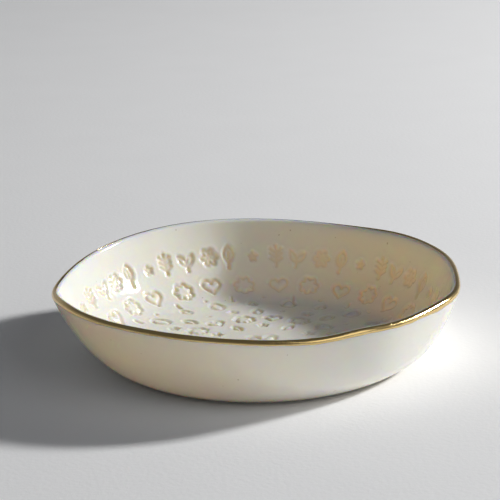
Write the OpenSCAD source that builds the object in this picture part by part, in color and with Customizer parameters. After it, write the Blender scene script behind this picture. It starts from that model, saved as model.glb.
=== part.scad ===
// A small hand-shaped porcelain dish for rings. One slab of clay is pressed into a shallow bowl,
// its rim is pulled into soft waves and pinched to a point at one end, the slab is glazed all over
// but for its foot, and the lip is painted with gold. The three layers are made in that order,
// each on the face of the one before. Sizes are in millimetres and the foot's centre is the origin.

/* [Floor] */
// Radius of the flat floor, where the wall starts to rise
floor_r = 27.5; // [22:0.5:30]
// Thickness of the slab in the floor
floor_t = 2.4; // [1.8:0.1:3.4]
// How much of the underside is sanded off, so that the dish stands on a true flat
sanded = 0.15; // [0.1:0.05:0.4]

/* [Wall] */
// Thickness of the slab at the lip, which is rounded over by half of it
lip_t = 1.5; // [1.1:0.1:2.2]
// How late the wall turns up: 2 is an even bowl, more is a flatter floor with a steeper rim
wall_bend = 2.7; // [2.2:0.1:3.2]

/* [Rim] */
// Mean radius from the middle of the rim to the crest of the lip
rim_r = 43.3; // [40:0.1:52]
// Mean height of the crest of the lip over the table
rim_h = 18.2; // [14:0.2:26]
// How far the rim's middle stands to the left of the floor's middle
rim_shift = 1.1; // [0:0.1:2.5]

/* [Waves of the rim] */
// How far the rim is drawn out of round to an oval
oval_out = 0.4; // [0:0.1:1.5]
// Direction of the oval's long way, in degrees
oval_turn = 48; // [0:1:180]
// How far the rim swells at each of its three soft corners
corner_out = 0.15; // [0:0.05:1]
// How far the rim rises at each of its three soft corners
corner_up = 0.7; // [0:0.05:1.2]
// Direction of the first of the three corners, in degrees
corner_turn = 0; // [0:1:120]
// How far the rim rises at both ends of its high diameter
saddle_up = 0.25; // [0:0.05:1]
// Direction of the high diameter, in degrees
saddle_turn = 60; // [0:1:180]
// How far the whole rim is tilted up on its high side
tilt_up = 0.6; // [0:0.05:1]
// Direction of the high side, in degrees
tilt_turn = 48; // [0:1:360]

/* [Pinched end] */
// Direction of the pinched end, in degrees
tip_turn = 180; // [150:1:210]
// How far the pinched end stands out
tip_out = 1.4; // [0:0.1:2.4]
// How far the rim dips at the pinched end
tip_dip = 1.2; // [0:0.1:2]
// Half the width of the pinch, in degrees
tip_spread = 14; // [10:1:24]

/* [Finger marks] */
// How far a finger has lifted the rim at the front right
front_lift = 0.7; // [0:0.05:1]
// How far a finger has pushed the rim out at the right
right_push = 1.5; // [0:0.05:2]
// How far a finger has lifted the rim at the back right
back_lift = 0.4; // [0:0.05:1]

/* [Glaze] */
// Thickness of the clear glaze
glaze_t = 0.15; // [0.1:0.01:0.25]
// Width of clay wiped bare of glaze round the flat floor's edge, on the underside
bare_w = 4.5; // [4:0.1:7]

/* [Gold] */
// Thickness given to the gold, which is far thinner on the real dish
gold_t = 0.1; // [0.06:0.01:0.2]
// How far the gold laps over the lip towards the inside, in degrees of the lip's round
gold_lap = 55; // [20:5:80]
// How far the gold comes down the outer wall below the lip's round
gold_down = 0.25; // [0.1:0.05:2]

/* [Fineness] */
// Steps around the rim
around = 72; // [48:12:84]
// Steps up the wall
wall_steps = 9; // [7:1:12]
// Steps over the gilded round of the lip
lip_steps = 6; // [4:1:8]

/* [Hidden] */

// Each finger mark's direction and half width, in degrees
front_mark = [300, 10];
right_mark = [340, 12];
back_mark = [40, 14];

// The rim in direction a is a circle with lobes, which repeat around it, and bumps, which are
// 1 in their own direction and fade to nothing at about twice their half width.
function lobes(a, count, turn) = cos(count * (a - turn));
function bump(a, mark) = exp(-pow(((a - mark[0] + 540) % 360 - 180) / mark[1], 2));

// Radius and height of the crest of the lip
function crest_r(a) = rim_r
    + oval_out * lobes(a, 2, oval_turn)
    + corner_out * lobes(a, 3, corner_turn)
    + tip_out * bump(a, [tip_turn, tip_spread])
    + right_push * bump(a, right_mark);
function crest_h(a) = rim_h
    + tilt_up * lobes(a, 1, tilt_turn)
    + saddle_up * lobes(a, 2, saddle_turn)
    + corner_up * lobes(a, 3, corner_turn)
    - tip_dip * bump(a, [tip_turn, tip_spread])
    + front_lift * bump(a, front_mark)
    + back_lift * bump(a, back_mark);

// The slab's middle line in direction a, as [distance out, height]. t is 0 at the floor's edge and
// 1 at the centre of the lip's round. run is the rate at which the line goes on with t.
line_low = floor_t / 2 - sanded;
function wall_w(a) = crest_r(a) - floor_r;
function wall_h(a) = crest_h(a) - lip_t / 2 - line_low;
function line(a, t) = [floor_r + wall_w(a) * t, line_low + wall_h(a) * pow(t, wall_bend)];
function run(a, t) = [wall_w(a), wall_h(a) * wall_bend * pow(t, wall_bend - 1)];
function thick(t) = floor_t + (lip_t - floor_t) * t;

// A station on the slab's face is [t, over]. over is -90 on the inner face and 90 on the outer
// face, and goes from one to the other over the lip. facing is the direction out of the slab there.
function facing(a, st) =
    let (v = run(a, st[0]), u = v / norm(v), c = cos(st[1]), s = sin(st[1]))
    [u[0] * c + u[1] * s, u[1] * c - u[0] * s];

// The point in space that lies skin above that station. The rim's middle is shifted to the left.
function place(a, st, skin) =
    let (p = line(a, st[0]) + (thick(st[0]) / 2 + skin) * facing(a, st))
    [p[0] * cos(a) - rim_shift * st[0], p[0] * sin(a), p[1]];

// Where the gold ends and where the glaze starts on the outer face
function gold_end(a) = 1 - gold_down / norm(run(a, 1));
function bare_end(a) = bare_w / wall_w(a);

// Stations in order from the floor's edge up the inner face, over the lip and down to the foot.
// The layers share them, so that each lies on the one before, facet on facet.
function inner_face(a) = [for (i = [0:wall_steps]) [i / wall_steps, -90]];
function bare_lip(a) = [[1, -(90 + gold_lap) / 2]];
function gilded(a) = concat(
    [for (i = [0:lip_steps]) [1, -gold_lap + (90 + gold_lap) * i / lip_steps]],
    [[gold_end(a), 90]]);
function outer_face(a) = [for (i = [1:wall_steps])
    [gold_end(a) + (bare_end(a) - gold_end(a)) * i / wall_steps, 90]];
function underside(a) = [[bare_end(a) / 2, 90], [0, 90]];
function glazed(a) = concat(inner_face(a), bare_lip(a), gilded(a), outer_face(a));

// A layer's section in direction a: its lower face or its whole outline as points in order
function face_points(a, stations, skin) = [for (st = stations) place(a, st, skin)];
function backwards(list) = [for (i = [len(list) - 1:-1:0]) list[i]];
function coat_section(a, stations, under, over) =
    concat(face_points(a, stations, over), backwards(face_points(a, stations, under)));

// A solid whose surface runs through one section after another around the dish. Each square is
// split in two: the first fold squares of a section one way and the others the other way, so that
// two coats that touch are split alike. With poles, a section starts at the first and ends at the
// second, and without them it ends where it starts.
module swept(sections, fold, poles = []) {
    count = len(sections[0]);
    last = around * count;
    steps = len(poles) == 0 ? count : count - 1;
    squares = [for (i = [0:around - 1], k = [0:steps - 1])
        let (
            here = i * count,
            next = (i + 1) % around * count,
            a = here + k,
            b = here + (k + 1) % count,
            c = next + k,
            d = next + (k + 1) % count
        )
        each k < fold ? [[a, d, c], [a, b, d]] : [[a, b, c], [c, b, d]]];
    fans = len(poles) == 0 ? [] : [for (i = [0:around - 1])
        let (here = i * count, next = (i + 1) % around * count)
        each [[last, here, next], [last + 1, next + count - 1, here + count - 1]]];
    polyhedron(concat([for (s = sections) each s], poles), concat(squares, fans));
}

directions = [for (i = [0:around - 1]) 360 * i / around];

// The slab of white porcelain, pressed to a bowl. Sanding takes off all that lies below the table,
// which the cutter does, well wider and deeper than the underside.
module porcelain_body() {
    stations = [for (a = directions) concat(glazed(a), underside(a))];
    sections = [for (i = [0:around - 1]) face_points(directions[i], stations[i], 0)];
    color("white") difference() {
        swept(sections, len(sections[0]), [[0, 0, floor_t - sanded], [0, 0, -sanded]]);
        translate([0, 0, -floor_t]) cylinder(r = 2 * rim_r, h = floor_t);
    }
}

// The clear glaze, one coat over the floor, the wall and the lip, down to just above the bare foot
module clear_glaze() {
    sections = [for (a = directions) coat_section(a, glazed(a), 0, glaze_t)];
    top = floor_t - sanded;
    color("azure", 0.5)
        swept(sections, len(sections[0]) / 2, [[0, 0, top + glaze_t], [0, 0, top]]);
}

// The gold, a band over the lip on top of the glaze, which follows every wave of the rim
module gold_rim() {
    sections = [for (a = directions) coat_section(a, gilded(a), glaze_t, glaze_t + gold_t)];
    color("goldenrod") swept(sections, len(sections[0]) / 2);
}

porcelain_body();
clear_glaze();
gold_rim();
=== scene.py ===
import math

import bpy
import numpy as np
from mathutils import Matrix


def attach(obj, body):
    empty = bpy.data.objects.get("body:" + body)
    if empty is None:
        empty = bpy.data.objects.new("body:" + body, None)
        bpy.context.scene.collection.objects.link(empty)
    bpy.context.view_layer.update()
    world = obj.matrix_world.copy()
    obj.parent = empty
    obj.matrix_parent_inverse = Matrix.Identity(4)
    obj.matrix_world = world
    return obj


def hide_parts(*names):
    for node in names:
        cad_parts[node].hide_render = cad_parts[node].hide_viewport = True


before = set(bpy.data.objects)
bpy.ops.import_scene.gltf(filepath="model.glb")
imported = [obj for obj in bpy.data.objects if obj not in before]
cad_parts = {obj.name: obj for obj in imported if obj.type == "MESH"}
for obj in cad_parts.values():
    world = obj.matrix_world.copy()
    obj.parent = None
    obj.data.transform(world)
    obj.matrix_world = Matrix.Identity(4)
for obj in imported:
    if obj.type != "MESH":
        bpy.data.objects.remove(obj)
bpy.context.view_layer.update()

# The porcelain dish
# One slab of white porcelain, pressed over a mould, pulled into soft waves at its rim, pinched at
# one end and stamped inside. It is fired, dipped in clear glaze that melts into it, so both are
# one closed piece here, and fired again. The foot is wiped clean of glaze and sanded flat.

# Lengths are in millimetres and angles in degrees, until a mesh is made in metres
MM = 0.001
# The floor: its radius, its thickness, what sanding takes off and the width wiped bare around it
floor_r = 27.5
floor_t = 2.4
sanded = 0.15
bare_w = 4.5
# The wall: how late it turns up, and its thickness at the lip
wall_bend = 2.7
lip_t = 1.5
# The rim: its mean radius and height, and how far its middle stands to the left of the floor's
rim_r = 43.3
rim_h = 18.2
rim_shift = 1.1
# The waves of the rim: how far out or up each goes, and the direction of its crest
oval_out, oval_turn = 0.4, 48
corner_out, corner_up, corner_turn = 0.15, 0.7, 0
saddle_up, saddle_turn = 0.25, 60
tilt_up, tilt_turn = 0.6, 48
# The pinched end and the finger marks: how far each goes, then its direction and half width
tip_out, tip_dip, tip_mark = 1.4, 1.2, (180, 14)
front_lift, front_mark = 0.7, (300, 10)
right_push, right_mark = 1.5, (340, 12)
back_lift, back_mark = 0.4, (40, 14)
# The glaze
glaze_t = 0.15
# The heights of the floor's face and of the slab's middle line in the floor
floor_top = floor_t - sanded
line_low = floor_t / 2 - sanded


def lobes(a, count, turn):
    """A wave that goes round the rim count times, with a crest in direction turn."""
    return np.cos(np.radians(count * (a - turn)))


def bump(a, centre, spread):
    """A bell that is 1 in direction centre and has faded away at twice its half width."""
    return np.exp(-(((a - centre + 540) % 360 - 180) / spread) ** 2)


def crest(a):
    """Radius and height of the lip's crest in direction a: a circle with lobes and bumps."""
    corners = lobes(a, 3, corner_turn)
    tip = bump(a, *tip_mark)
    r = rim_r + oval_out * lobes(a, 2, oval_turn) + corner_out * corners
    r = r + tip_out * tip + right_push * bump(a, *right_mark)
    h = rim_h + tilt_up * lobes(a, 1, tilt_turn) + saddle_up * lobes(a, 2, saddle_turn)
    h = h + corner_up * corners - tip_dip * tip
    h = h + front_lift * bump(a, *front_mark) + back_lift * bump(a, *back_mark)
    return r, h


def slab(a, t, over, skin):
    """A point skin above the slab's face, for arrays of direction a, way up the wall t and turn
    over the lip: over is -90 on the inner face and 90 on the outer face. The slab's middle line
    rises as t to the power wall_bend, and its thickness goes evenly from floor_t to lip_t."""
    a, t, over, skin = np.broadcast_arrays(a, t, over, skin)
    r, h = crest(a)
    wide = r - floor_r
    high = h - lip_t / 2 - line_low
    run = np.stack([wide, high * wall_bend * t ** (wall_bend - 1)])
    run = run / np.hypot(run[0], run[1])
    c, s = np.cos(np.radians(over)), np.sin(np.radians(over))
    reach = (floor_t + (lip_t - floor_t) * t) / 2 + skin
    out = floor_r + wide * t + reach * (run[0] * c + run[1] * s)
    up = line_low + high * t ** wall_bend + reach * (run[1] * c - run[0] * s)
    x = out * np.cos(np.radians(a)) - rim_shift * t
    return np.stack([x, out * np.sin(np.radians(a)), up], -1)


# The lumps that smoothing with the fingers leaves: for each pattern its height, then for each of
# its two waves the count around, the radians to a millimetre up the wall, and the start in radians
hand_lumps = (
    (0.035, (3, 0.31, 0), (0, 0.23, 1.1)),
    (0.02, (7, -0.52, 0.7), (4, 0.37, 0)),
)


def hand_waves(a, s):
    """The slight unevenness of the smoothed surface in direction a and at way up s: patterns of
    lumps, each the product of two sine waves that cross each other."""
    height = 0
    for lump, *waves in hand_lumps:
        one, two = (np.sin(np.radians(count * a) + pace * s + start) for count, pace, start in waves)
        height = height + lump * (one * two)
    return height


# Length of the mean wall's middle line from the floor's edge up to each t, summed in short steps
wall_t = np.linspace(0, 1, 400)
mean_high = rim_h - lip_t / 2 - line_low
mean_rise = mean_high * wall_bend * wall_t[1:] ** (wall_bend - 1)
wall_steps = np.hypot(rim_r - floor_r, mean_rise) / len(mean_rise)
wall_s = np.concatenate([[0], np.cumsum(wall_steps)])
wall_length = wall_s[-1]


# The hand stamps. Each is a set of strokes in a square of about 2 by 2, with its top up the wall.
def straight(x0, y0, x1, y1):
    """A straight stroke from one point to another."""
    return np.array([[x0, y0], [x1, y1]])


def oval_ring(rx, ry, count):
    """Count points along a whole ellipse, the last on the first."""
    w = np.radians(np.linspace(0, 360, count))
    return np.stack([rx * np.cos(w), ry * np.sin(w)], -1)


def leaf_loop(x0, y0, x1, y1, width):
    """A pointed leaf from one point to another: two sides that bow out by half a sine wave."""
    w = np.linspace(0, 1, 8)[:, None]
    along = np.array([x1 - x0, y1 - y0])
    side = np.array([-along[1], along[0]]) / np.hypot(*along) * width
    line = np.array([x0, y0]) + along * w
    bow = side * np.sin(np.pi * w) ** 0.8
    return np.concatenate([line + bow, (line - bow)[::-1]])


def rosette(petals, inner, outer):
    """A scalloped ring: a circle whose radius swings between inner and outer once a petal."""
    w = np.linspace(0, 2 * np.pi, petals * 6 + 1)
    r = inner + (outer - inner) * np.abs(np.sin(petals * w / 2))
    return np.stack([r * np.sin(w), r * np.cos(w)], -1)


def heart_outline():
    """A plain heart, from the usual sine-cubed curve."""
    w = np.linspace(0, 2 * np.pi, 25)
    y = 13 * np.cos(w) - 5 * np.cos(2 * w) - 2 * np.cos(3 * w) - np.cos(4 * w)
    return np.stack([np.sin(w) ** 3, y / 16], -1)


def star_outline(points, inner):
    """A star whose outline goes in and out between 1 and inner."""
    corner = np.arange(2 * points + 1)
    w = corner * np.pi / points
    r = np.where(corner % 2 == 0, 1.0, inner)
    return np.stack([r * np.sin(w), r * np.cos(w)], -1)


fern_stem = [straight(0, -1.0, 0, 0.95)]
fern_barbs = [straight(0, y, side * 0.55, y + 0.38) for y in (-0.6, -0.15, 0.3) for side in (-1, 1)]
STAMPS = {
    "tall_leaf": [leaf_loop(0, -0.45, 0, 1.0, 0.42), straight(0, -1.0, 0, 0.45)],
    "daisy": [rosette(6, 0.45, 1.0), oval_ring(0.2, 0.2, 9)],
    "sprout": [leaf_loop(0, -0.4, -0.85, 0.7, 0.26), leaf_loop(0, -0.4, 0.85, 0.7, 0.26),
               straight(0, -1.0, 0, -0.4)],
    "fern": fern_stem + fern_barbs,
    "star": [star_outline(5, 0.42)],
    "heart": [heart_outline()],
    "cloud": [rosette(7, 0.72, 1.0)],
    "drop": [leaf_loop(0, -1.0, 0, 1.0, 0.5)],
    "oval": [oval_ring(0.62, 1.0, 17)],
    "dot": [straight(0, -0.05, 0, 0.05)],
    "dash": [straight(0, -1.0, 0, 1.0)],
}

# Each row of stamps: way up the wall or, below zero, in from the floor's edge; how many; the
# direction of the first; the width of the strokes; the stamps in turn, each with its half height
STAMP_ROWS = [
    (16.6, 45, 20, 0.8, (("tall_leaf", 2.65), ("daisy", 2.0), ("sprout", 2.2), ("fern", 2.5),
                         ("star", 0.9))),
    (9.3, 28, 6, 0.62, (("heart", 2.2), ("cloud", 2.4))),
    (4.6, 28, 12, 0.6, (("dot", 0.3), ("dash", 0.9))),
    (0.9, 21, 9, 0.6, (("oval", 2.3), ("drop", 1.6))),
    (-4.9, 24, 3, 0.62, (("drop", 1.9), ("star", 1.0), ("dot", 0.35))),
    (-10.2, 16, 15, 0.6, (("cloud", 2.3), ("heart", 1.9))),
    (-15.6, 12, 0, 0.6, (("drop", 1.6), ("star", 1.0))),
    (-floor_r, 1, 0, 0.75, (("daisy", 5.0),)),
]
# A stroke's depth, the width of its soft sides, and its ridge's half width and share of the depth
stamp_depth = 0.5
ramp = 0.55
ridge_w = 0.3
ridge_up = 0.11
# How much of the depth some stamps lack, and how far they stray, in degrees around, millimetres
# up and radians of lean
uneven = 0.12
stray_turn = 0.5
stray_up = 0.25
stray_lean = 0.09
# The sines that vary the lean, the height and the depth go on by these radians from stamp to stamp
lean_pace = 2.3
lift_pace = 3.7
press_pace = 5.1
# A stamp marks nothing beyond this many times its half height, and this far more
stamp_reach = 1.15
ridge_reach = 1.2
# The least square of a bit's length, which keeps a bit of no length from dividing by zero
least_square = 1e-9


def stroke_gap(spots, strokes):
    """Distance from each spot to the nearest stroke. On each straight bit of a stroke, the nearest
    point is the foot of the perpendicular, kept between the bit's ends."""
    gap = np.full(len(spots), np.inf)
    for stroke in strokes:
        for start, end in zip(stroke[:-1], stroke[1:]):
            way = end - start
            along = np.clip((spots - start) @ way / max(way @ way, least_square), 0, 1)
            gap = np.minimum(gap, np.hypot(*(spots - start - along[:, None] * way).T))
    return gap


def stamped(a, s, r):
    """How deep the stamps go in at direction a, way up s and radius r. Each stroke is a flat
    channel with soft sides: its depth falls from the middle to the side as a smooth step, and
    the clay that it pushed out stands as a low bell along both sides. Sines of the stamp's
    number make each one lean, stray and sink in a little unevenly."""
    depth = np.zeros(np.shape(a))
    for place_s, count, first, width, stamps in STAMP_ROWS:
        for i in range(count):
            name, size = stamps[i % len(stamps)]
            lean = math.sin(lean_pace * i + place_s)
            turn = first + 360 * i / count + stray_turn * lean
            lift = place_s + stray_up * math.sin(lift_pace * i + place_s)
            if count == 1:
                x, y = r * np.cos(np.radians(a)), r * np.sin(np.radians(a))
            else:
                x, y = -np.radians((a - turn + 540) % 360 - 180) * r, s - lift
            near = np.hypot(x, y) < size * stamp_reach + ridge_reach
            x, y = x[near], y[near]
            c, k = math.cos(stray_lean * lean), math.sin(stray_lean * lean)
            spots = np.stack([c * x - k * y, k * x + c * y], -1)
            gap = stroke_gap(spots, [stroke * size for stroke in STAMPS[name]])
            inside = np.clip((width / 2 + ramp / 2 - gap) / ramp, 0, 1)
            channel = inside * inside * (3 - 2 * inside)
            ridge = ridge_up * np.exp(-(((gap - width / 2 - ramp) / ridge_w) ** 2))
            sunk = 1 - uneven + uneven * math.sin(press_pace * i)
            press = stamp_depth * sunk * (channel - ridge)
            depth[near] = np.where(np.abs(press) > np.abs(depth[near]), press, depth[near])
    return depth


# The way below the lip over which stamps and waves fade away, and how far the face is sunk to give
# the waves room
lip_fade = 3
wave_room = 0.03


def inner_face(columns, s):
    """The glazed inner face as a grid: a row for each s up the wall, or in from the floor's edge
    below zero, and columns around. The stamps and the hand's waves move it along its normal."""
    a = np.arange(columns) * 360 / columns
    a, s = np.meshgrid(a, s)
    t = np.interp(s, wall_s, wall_t)
    flat = np.clip(s + floor_r, 0, floor_r)
    r = np.where(s > 0, floor_r + (rim_r - floor_r) * t, flat)
    depth = stamped(a, s, r)
    fade = np.clip((wall_length - s) / lip_fade, 0, 1)
    skin = glaze_t - depth * fade + hand_waves(a, s) * fade - wave_room * fade
    wall = slab(a, t, -90, skin)
    base = np.stack([r * np.cos(np.radians(a)), r * np.sin(np.radians(a)), floor_top + skin], -1)
    grid = np.where((s > 0)[..., None], wall, base)
    return grid, np.clip(depth / stamp_depth, 0, 1) * fade


# The glaze starts to gather at this way up the outer wall and deepens over this way down, to this tint;
# the tint is partly painted amber shade and glow of light through the clay
pool_and_shade_top = 0.55
pool_and_shade_way = 0.25
pool_and_shade_tint = 0.9


def outer_rows(columns, t, over, skin):
    """Rows over the lip or down the outer face, one for each entry of t. Over and skin have an
    entry for each row, or one for all. Low on the outer face, as the square of the way down, the
    glaze gathers a little and is given a painted amber shade and glow of light through the clay."""
    a = np.arange(columns) * 360 / columns
    a, t = np.meshgrid(a, t)
    grid = slab(a, t, np.atleast_1d(over)[:, None], np.atleast_1d(skin)[:, None])
    return grid, pool_and_shade_tint * np.clip((pool_and_shade_top - t) / pool_and_shade_way, 0, 1) ** 2


def seam(a, b):
    """The faces between two rows of which one may have twice as many points as the other."""
    if len(a) == len(b):
        return [np.stack([a, b, np.roll(b, -1), np.roll(a, -1)], -1)]
    fine, coarse = (a, b) if len(a) > len(b) else (b, a)
    even, odd, after = fine[::2], fine[1::2], np.roll(fine[::2], -1)
    beyond = np.roll(coarse, -1)
    corners = ([even, coarse, odd], [odd, coarse, beyond], [odd, beyond, after])
    found = [np.stack(three, -1) for three in corners]
    return found if len(a) > len(b) else [three[:, ::-1] for three in found]


def stitch(grids, first_pole, last_pole):
    """One closed skin from grids of rows that follow each other. Rows of like counts are joined
    by squares. Where a row has twice as many points as the next, three triangles go in each
    step. A fan closes the skin at each pole. Returns the points, the faces as arrays, and the
    number of each grid's first point."""
    points, faces, starts = [np.array([first_pole])], [], []
    begin = 1
    last = None
    for grid in grids:
        rows, columns = grid.shape[:2]
        ids = begin + np.arange(rows * columns).reshape(rows, columns)
        starts.append(begin)
        if last is None:
            faces.append(np.stack([np.zeros(columns, int), ids[0], np.roll(ids[0], -1)], -1))
        else:
            faces += seam(last, ids[0])
        a, b = ids[:-1], ids[1:]
        square = [a, b, np.roll(b, -1, 1), np.roll(a, -1, 1)]
        faces.append(np.stack(square, -1).reshape(-1, 4))
        points.append(grid.reshape(-1, 3))
        begin += rows * columns
        last = ids[-1]
    faces.append(np.stack([last, np.full(len(last), begin), np.roll(last, -1)], -1))
    points.append(np.array([last_pole]))
    return np.concatenate(points), faces, starts


def mesh_of(name, points, faces, smooth=True):
    """A Blender object from points in millimetres and a list of face arrays."""
    mesh = bpy.data.meshes.new(name)
    flat = np.concatenate([f.reshape(-1) for f in faces])
    sizes = np.concatenate([np.full(len(f), f.shape[1]) for f in faces])
    mesh.vertices.add(len(points))
    mesh.vertices.foreach_set("co", (points * MM).astype(np.float32).reshape(-1))
    mesh.loops.add(len(flat))
    mesh.loops.foreach_set("vertex_index", flat.astype(np.int32))
    mesh.polygons.add(len(sizes))
    mesh.polygons.foreach_set("loop_start", (np.cumsum(sizes) - sizes).astype(np.int32))
    mesh.polygons.foreach_set("use_smooth", np.full(len(sizes), smooth))
    mesh.update(calc_edges=True)
    mesh.validate()
    piece = bpy.data.objects.new(name, mesh)
    bpy.context.scene.collection.objects.link(piece)
    return piece


def paint(piece, name, values):
    """Keeps one number for each vertex, for a material to read."""
    layer = piece.data.attributes.new(name, "FLOAT", "POINT")
    layer.data.foreach_set("value", values.astype(np.float32))


# The skin runs in zones from the middle of the floor out, over the lip and in to the middle of the
# foot. The stamped zones have the closest rows and the most columns.
full = 840
half, quarter, eighth = full // 2, full // 4, full // 8
middle = inner_face(eighth, np.arange(-26.9, -19.6, 0.62))
ring_floor = inner_face(quarter, np.arange(-19.6, -17.4, 0.5))
stamped_floor = inner_face(half, np.arange(-17.3, 1.2, 0.36))
stamped_wall = inner_face(full, np.concatenate([np.arange(1.4, 20.2, 0.3), [20.5, 20.9]]))
upper_wall = inner_face(half, np.array([21.3, 21.8, 22.4, wall_length - 0.35]))
lip_turn = np.linspace(-90, 90, 15)
lip = outer_rows(half, np.ones(len(lip_turn)), lip_turn, glaze_t)
outer_wall = outer_rows(half, np.linspace(1, 0.5, 14)[1:], 90, glaze_t)
# The glaze ends in a low bead that rounds off onto the bare clay
bare_t = bare_w / (rim_r - floor_r)
edge_t = np.array([0.45, 0.4, 0.36, 0.33, bare_t + 0.025, bare_t + 0.012, bare_t + 0.004])
bead = glaze_t + np.array([0, 0, 0.005, 0.015, 0.015, -0.01, -0.08])
glaze_edge = outer_rows(half, edge_t, 90, bead)
clay_t = np.array([bare_t - 0.002, 0.25, 0.22, 0.19, 0.17, 0.155, 0.14, 0.12])
clay = outer_rows(half, clay_t, 90, 0)
# Sanding brings what lies below the table up to it
clay[0][..., 2] = np.maximum(clay[0][..., 2], 0)
foot_r = np.array([[26.0], [18.0], [9.0]])
foot_turn = np.radians(np.arange(quarter) * 360 / quarter)
foot_x, foot_y = foot_r * np.cos(foot_turn), foot_r * np.sin(foot_turn)
foot = np.stack([foot_x, foot_y, np.zeros_like(foot_x)], -1)
zones = [middle, ring_floor, stamped_floor, stamped_wall, upper_wall, lip, outer_wall, glaze_edge, clay]
grids = [zone[0] for zone in zones] + [foot]
dish_points, dish_faces, zone_starts = stitch(grids, [0, 0, floor_top + glaze_t], [0, 0, 0])
porcelain_dish = mesh_of("porcelain_dish", dish_points, dish_faces)
# How far in each point is stamped, or how much glaze gathers over it, which is nothing at both poles
# and on the foot; it drives a painted amber shade and glow in the glaze's colour
pressed = [[0.0]] + [zone[1].reshape(-1) for zone in zones] + [np.zeros(foot_x.size + 1)]
paint(porcelain_dish, "pressed", np.concatenate(pressed))


def node(tree, kind, **inputs):
    """A shader node with its inputs set by name: underscores stand for spaces."""
    made = tree.nodes.new(kind)
    for name, value in inputs.items():
        socket = made.inputs[name.replace("_", " ")]
        if isinstance(value, bpy.types.NodeSocket):
            tree.links.new(value, socket)
        else:
            socket.default_value = value
    return made


def new_material(name):
    """A material with a Principled shader, and its node tree, shader and Object coordinates."""
    material = bpy.data.materials.new(name)
    material.use_nodes = True
    tree = material.node_tree
    coords = tree.nodes.new("ShaderNodeTexCoord").outputs["Object"]
    return material, tree, tree.nodes["Principled BSDF"], coords


# Nearly all of a noise lies between these
noise_span = (0.3, 0.7)


def noise(tree, vector, scale, detail=2.0):
    """Noise of about the given number of lumps to the metre."""
    made = node(tree, "ShaderNodeTexNoise", Vector=vector, Scale=scale, Detail=detail)
    return made.outputs["Fac"]


def ranged(tree, value, taken, given):
    """Maps the range taken evenly onto the range given, and holds it at both ends."""
    made = node(tree, "ShaderNodeMapRange", Value=value, From_Min=taken[0], From_Max=taken[1],
                To_Min=given[0], To_Max=given[1])
    return made.outputs["Result"]


def blended(tree, factor, one, two):
    """Goes from one colour to another as factor goes from 0 to 1."""
    made = tree.nodes.new("ShaderNodeMix")
    made.data_type = "RGBA"
    tree.links.new(factor, made.inputs["Factor"])
    colour_sockets = made.inputs[6:8]
    for socket, value in zip(colour_sockets, (one, two)):
        if isinstance(value, bpy.types.NodeSocket):
            tree.links.new(value, socket)
        else:
            socket.default_value = (*value, 1)
    return made.outputs[2]


def coated(tree, shader, colour, roughness):
    """Links a colour and a roughness that vary over the surface to the shader."""
    tree.links.new(colour, shader.inputs["Base Color"])
    tree.links.new(roughness, shader.inputs["Roughness"])


def bumped(tree, shader, height, distance, strength=1.0):
    """Tilts the shader's normal by a height that is distance metres from low to high."""
    made = node(tree, "ShaderNodeBump", Height=height, Strength=strength, Distance=distance)
    tree.links.new(made.outputs["Normal"], shader.inputs["Normal"])


def let_light_through(shader):
    """Thin porcelain lets light through and tints it amber, the more the thicker it is: red goes
    furthest into the clay and blue least."""
    shader.inputs["Subsurface Weight"].default_value = 0.9
    shader.inputs["Subsurface Radius"].default_value = (1.0, 0.71, 0.19)
    shader.inputs["Subsurface Scale"].default_value = 0.0028


def glazed_porcelain():
    """Warm white clay under clear gloss glaze, with slow ripples, a fine orange peel and a few dark
    specks of iron. Where the glaze gathers in the stamps and low on the outer wall, its colour goes
    to a deeper honey that is partly the glaze's own and partly painted amber shade and glow."""
    cream, pale_cream = (0.84, 0.81, 0.745), (0.865, 0.845, 0.79)
    # The honey is partly the glaze's own where it gathers, and partly painted amber shade and glow of
    # light through the clay
    pool_and_painted_shade_honey, iron_brown = (0.79, 0.65, 0.39), (0.35, 0.27, 0.18)
    pool_and_shade_share, speck_share = 0.45, 0.5
    speck_peaks = (0.865, 0.885)
    gloss_roughness = (0.05, 0.12)
    ripple_weight, relief_t = 6, 0.000012
    material, tree, shader, coords = new_material("glazed_porcelain")
    pool_and_shade_mask = node(tree, "ShaderNodeAttribute")
    pool_and_shade_mask.attribute_name = "pressed"
    clay_colour = blended(tree, noise(tree, coords, 60), cream, pale_cream)
    # Painted amber shade and glow, with some real gathering of glaze, where the stamps go in and low on
    # the outer wall
    deep = ranged(tree, pool_and_shade_mask.outputs["Fac"], (0, 1), (0, pool_and_shade_share))
    colour = blended(tree, deep, clay_colour, pool_and_painted_shade_honey)
    specks = ranged(tree, noise(tree, coords, 1300, 0), speck_peaks, (0, speck_share))
    smears = ranged(tree, noise(tree, coords, 180), noise_span, gloss_roughness)
    coated(tree, shader, blended(tree, specks, colour, iron_brown), smears)
    ripples = noise(tree, coords, 220, 1)
    peel = noise(tree, coords, 1100, 0)
    relief = node(tree, "ShaderNodeMath", Value=ripples)
    relief.operation = "MULTIPLY_ADD"
    relief.inputs[1].default_value = ripple_weight
    tree.links.new(peel, relief.inputs[2])
    bumped(tree, shader, relief.outputs[0], relief_t)
    shader.inputs["IOR"].default_value = 1.5
    let_light_through(shader)
    return material


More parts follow.
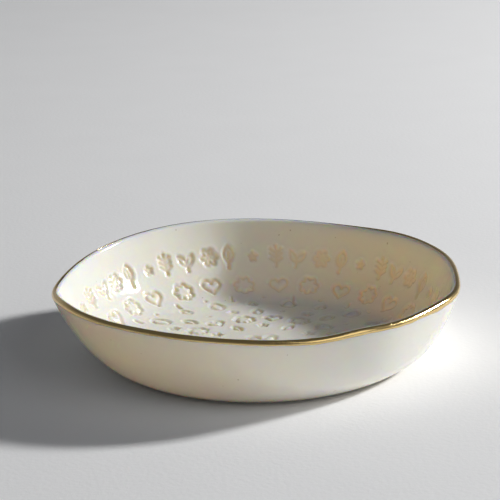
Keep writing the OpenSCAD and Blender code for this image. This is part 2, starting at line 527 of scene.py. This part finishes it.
def bare_porcelain():
    """Unglazed clay on the sanded foot: matt, chalky, with fine crossing scratches."""
    chalk, pale_chalk = (0.77, 0.73, 0.66), (0.84, 0.81, 0.75)
    matt_roughness = (0.62, 0.8)
    scratch_t, scratch_strength = 0.00004, 0.6
    material, tree, shader, coords = new_material("bare_porcelain")
    grain = noise(tree, coords, 2500, 3)
    rubbed = ranged(tree, grain, noise_span, matt_roughness)
    coated(tree, shader, blended(tree, grain, chalk, pale_chalk), rubbed)
    stretched = node(tree, "ShaderNodeMapping", Vector=coords, Rotation=(0, 0, 0.5), Scale=(1, 14, 1))
    scratches = noise(tree, stretched.outputs["Vector"], 300, 3)
    bumped(tree, shader, scratches, scratch_t, scratch_strength)
    let_light_through(shader)
    return material


# The clay is the last zone before the foot. It starts with the strip below the glaze's last row.
porcelain_dish.data.materials.append(glazed_porcelain())
porcelain_dish.data.materials.append(bare_porcelain())
clay_start = zone_starts[len(zones) - 1] - half
first_corners = np.concatenate([f[:, 0] for f in dish_faces])
is_clay = (first_corners >= clay_start).astype(np.int32)
porcelain_dish.data.polygons.foreach_set("material_index", is_clay)
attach(porcelain_dish, "root")
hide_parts("porcelain_body", "clear_glaze")

# The gold band
# Liquid bright gold, brushed over the lip on the fired glaze and fired once more. It is a film that
# follows every wave of the rim, with an uneven edge on both sides where the brush ran thin.
film_t = 0.05
# How far the film reaches into the glaze, and how far its thinnest edge stands above it
film_root = 0.03
film_edge = 0.004
# How fast the film swells from its edges, and the share of it that brush streaks take away
swell_rate = 10
streak_share = 0.15
band_columns, band_rows = 720, 15
# The share of the band's width that lies on the lip's round
round_share = 0.9
# Where the band starts over the inner side of the lip and ends outside, in degrees of the lip's
# round: the mean, the most, and the places where it differs, as how much, direction, half width
lap_mean, lap_most = 28, 55.0
lap_places = ((-20, 92, 26), (26, 30, 34), (-16, 262, 50), (10, 185, 18))
end_mean, end_most = 87, 90
end_places = ((-20, 242, 55),)
# Where the end falls this many degrees short of the most, the band comes down least
end_fade = 10
# How far the band comes down below the lip's round, in shares of the wall, and the least of it
drop_mean, drop_least = 0.007, 0.0015
# How the brush wobbled: height, count around the rim and starting angle of each sine wave
edge_wobble = ((2.6, 9, 0), (1.8, 23, 40), (1, 57, 0))
drop_wobble = ((0.0025, 11, 30), (0.002, 31, 0))


def placed(a, mean, places):
    """A mean with a bell added at each of the places."""
    return mean + sum(much * bump(a, turn, spread) for much, turn, spread in places)


def wobbled(a, waves):
    """The sum of sine waves that go round the rim."""
    return sum(height * np.sin(np.radians(count * a + start)) for height, count, start in waves)


def band_edges(a):
    """For direction a, how far the gold laps over the inner side of the lip and where on the
    outer side it ends, both in degrees of the lip's round, and how far it comes down below the
    round. The means have bells and waves added, and the end's shortfall shrinks the drop."""
    wobble = wobbled(a, edge_wobble)
    lap = np.minimum(placed(a, lap_mean, lap_places) + wobble, lap_most)
    end = np.minimum(placed(a, end_mean, end_places) + wobble, end_most)
    shrink = np.clip((end - end_most + end_fade) / end_fade, 0, 1)
    drop = (drop_mean + wobbled(a, drop_wobble)) * shrink
    return lap, end, np.maximum(drop, drop_least)


def lay_along_rim(piece, faces, around, over_lip):
    """A UV map that runs once around the rim and once over the lip. In the squares that close
    the round, the corners at 0 count as 1."""
    uv = np.stack(np.broadcast_arrays(around, over_lip), -1).reshape(-1, 2)
    corner_uv = uv[faces]
    corner_uv[..., 0] += (corner_uv[..., 0].max(1, keepdims=True) - corner_uv[..., 0]) > 0.5
    layer = piece.data.uv_layers.new(name="along_the_rim")
    layer.data.foreach_set("uv", corner_uv.astype(np.float32).reshape(-1))


def gold_band_mesh():
    """A closed thin skin around the rim: out over the lip on its upper face and back on its lower
    face. Across the band the film swells from almost nothing at its edges to film_t."""
    a = np.arange(band_columns) * 360 / band_columns
    lap, end, drop = band_edges(a)
    across = np.linspace(0, 1, band_rows)[:, None]
    over = -lap + (end + lap) * np.clip(across / round_share, 0, 1)
    t = 1 - np.clip((across - round_share) / (1 - round_share), 0, 1) * drop
    swell = np.sqrt(np.clip(swell_rate * across * (1 - across), 0, 1))
    brushed = 1 - streak_share + streak_share * np.sin(np.radians(13 * a) + 9 * across)
    top = slab(a, t, over, glaze_t + film_edge + film_t * swell * brushed)
    under = slab(a, t, over, glaze_t - film_root)
    ring = np.concatenate([top, under[::-1]])
    ids = np.arange(len(ring) * band_columns).reshape(len(ring), band_columns)
    down = np.roll(ids, -1, 0)
    faces = np.stack([ids, down, np.roll(down, -1, 1), np.roll(ids, -1, 1)], -1).reshape(-1, 4)
    piece = mesh_of("gold_band", ring.reshape(-1, 3), [faces])
    there_and_back = np.concatenate([across, across[::-1]])
    thin = np.concatenate([1 - swell, (1 - swell)[::-1]])
    paint(piece, "thin", np.repeat(thin, band_columns))
    lay_along_rim(piece, faces, a / 360, there_and_back)
    return piece


def brushed_gold():
    """Bright gold with long faint brush streaks along the rim, tan where the film runs thin."""
    deep_gold, pale_gold, thin_tan = (0.74, 0.48, 0.16), (0.95, 0.76, 0.38), (0.56, 0.39, 0.2)
    thin_part, tan_share = (0.2, 1), (0, 0.8)
    polish_roughness, streak_t = (0.07, 0.2), 0.00003
    material, tree, shader, coords = new_material("brushed_gold")
    along = tree.nodes.new("ShaderNodeUVMap")
    along.uv_map = "along_the_rim"
    stretched = node(tree, "ShaderNodeMapping", Vector=along.outputs["UV"], Scale=(40, 9, 1))
    streaks = noise(tree, stretched.outputs["Vector"], 1, 3)
    thin = node(tree, "ShaderNodeAttribute")
    thin.attribute_name = "thin"
    gold = blended(tree, noise(tree, coords, 90, 2), deep_gold, pale_gold)
    thinned = ranged(tree, thin.outputs["Fac"], thin_part, tan_share)
    colour = blended(tree, thinned, gold, thin_tan)
    coated(tree, shader, colour, ranged(tree, streaks, noise_span, polish_roughness))
    bumped(tree, shader, streaks, streak_t)
    shader.inputs["Metallic"].default_value = 1.0
    return material


gold_band = gold_band_mesh()
gold_band.data.materials.append(brushed_gold())
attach(gold_band, "root")
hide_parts("gold_rim")

# The floor
# A white table top of painted board, matt and plain, on which the dish stands. It is one flat
# sheet, far wider than the view.
table_half = 3000.0


def painted_board():
    """A matt surface with the faintest mottling and tooth."""
    white, bright_white = (0.89, 0.89, 0.89), (0.92, 0.92, 0.92)
    tooth_t, tooth_strength = 0.0003, 0.15
    material, tree, shader, coords = new_material("painted_board")
    mottled = blended(tree, noise(tree, coords, 40), white, bright_white)
    tree.links.new(mottled, shader.inputs["Base Color"])
    bumped(tree, shader, noise(tree, coords, 900, 3), tooth_t, tooth_strength)
    shader.inputs["Roughness"].default_value = 0.8
    shader.inputs["Specular IOR Level"].default_value = 0.25
    return material


table_corners = np.array([[-1, -1, 0], [1, -1, 0], [1, 1, 0], [-1, 1, 0]]) * table_half
table = mesh_of("table", table_corners, [np.array([[0, 1, 2, 3]])], smooth=False)
table.data.materials.append(painted_board())

# The light and the camera
# A soft lamp low at the right and a little behind stands for a window, and a weak wide one at the
# front right for a white card, in a dim room that is pale near the horizon. The camera stands at
# the front, 18 degrees up, with a long lens.


def soft_lamp(name, turn, height, distance, size, power):
    """A square lamp that faces the dish from direction turn at an angle height over the table.
    Its axes are the way to it from the dish, a level side and an up that is square to both.
    Distance and size are in metres."""
    lamp = bpy.data.lights.new(name, "AREA")
    lamp.size = size
    lamp.energy = power
    holder = bpy.data.objects.new(name, lamp)
    turn, height = math.radians(turn), math.radians(height)
    level = math.cos(height)
    way = np.array([level * math.cos(turn), level * math.sin(turn), math.sin(height)])
    side = np.cross([0, 0, 1], way)
    side = side / np.linalg.norm(side)
    up = np.cross(way, side)
    rows = [[side[i], up[i], way[i], way[i] * distance] for i in range(3)]
    holder.matrix_world = Matrix(rows + [[0, 0, 0, 1]])
    bpy.context.scene.collection.objects.link(holder)


soft_lamp("window_lamp", turn=17, height=28, distance=1.3, size=0.14, power=18)
soft_lamp("white_card", turn=-38, height=34, distance=1.2, size=0.8, power=1.9)

# The room's grey near the horizon and above, and the sines of the heights between which it dims
horizon_grey, dim_grey = (0.33, 0.335, 0.34), (0.09, 0.093, 0.1)
dimming = (0.1, 0.4)
world = bpy.data.worlds.new("pale_surround")
bpy.context.scene.world = world
world.use_nodes = True
room = world.node_tree
sky_way = room.nodes.new("ShaderNodeTexCoord").outputs["Generated"]
upward = node(room, "ShaderNodeSeparateXYZ", Vector=sky_way).outputs["Z"]
rising = ranged(room, upward, dimming, (0, 1))
room.links.new(blended(room, rising, horizon_grey, dim_grey), room.nodes["Background"].inputs["Color"])

# The camera stands this far from a point above the middle of the foot, and this far to the right
camera_distance = 453.0
camera_x = 0.84
aim_height = 10.0
# Its angle over the table, and the angles by which it is turned
camera_angle = 18.26
camera_yaw, camera_pitch, camera_roll = -0.447, 16.564, -0.983
# The lens: its angle of view, the width behind it, and how many metres it reaches
view_angle = 14.0
sensor_width = 36
far_limit = 20
high = math.radians(camera_angle)
eye_y = -camera_distance * math.cos(high)
eye_z = aim_height + camera_distance * math.sin(high)
eye = np.array([camera_x, eye_y, eye_z])
yaw, pitch, roll = (math.radians(v) for v in (camera_yaw, camera_pitch, camera_roll))
ahead = np.array([math.sin(yaw) * math.cos(pitch), math.cos(yaw) * math.cos(pitch), -math.sin(pitch)])
level = np.array([math.cos(yaw), -math.sin(yaw), 0])
above = np.cross(level, ahead)
side = level * math.cos(roll) + above * math.sin(roll)
top = -level * math.sin(roll) + above * math.cos(roll)
camera = bpy.data.objects.new("camera", bpy.data.cameras.new("camera"))
camera.data.sensor_width = sensor_width
camera.data.lens = sensor_width / 2 / math.tan(math.radians(view_angle / 2))
camera.data.clip_end = far_limit
rows = [[side[i], top[i], -ahead[i], eye[i] * MM] for i in range(3)]
camera.matrix_world = Matrix(rows + [[0, 0, 0, 1]])
bpy.context.scene.collection.objects.link(camera)
bpy.context.scene.camera = camera
bpy.context.scene.view_settings.view_transform = "Standard"
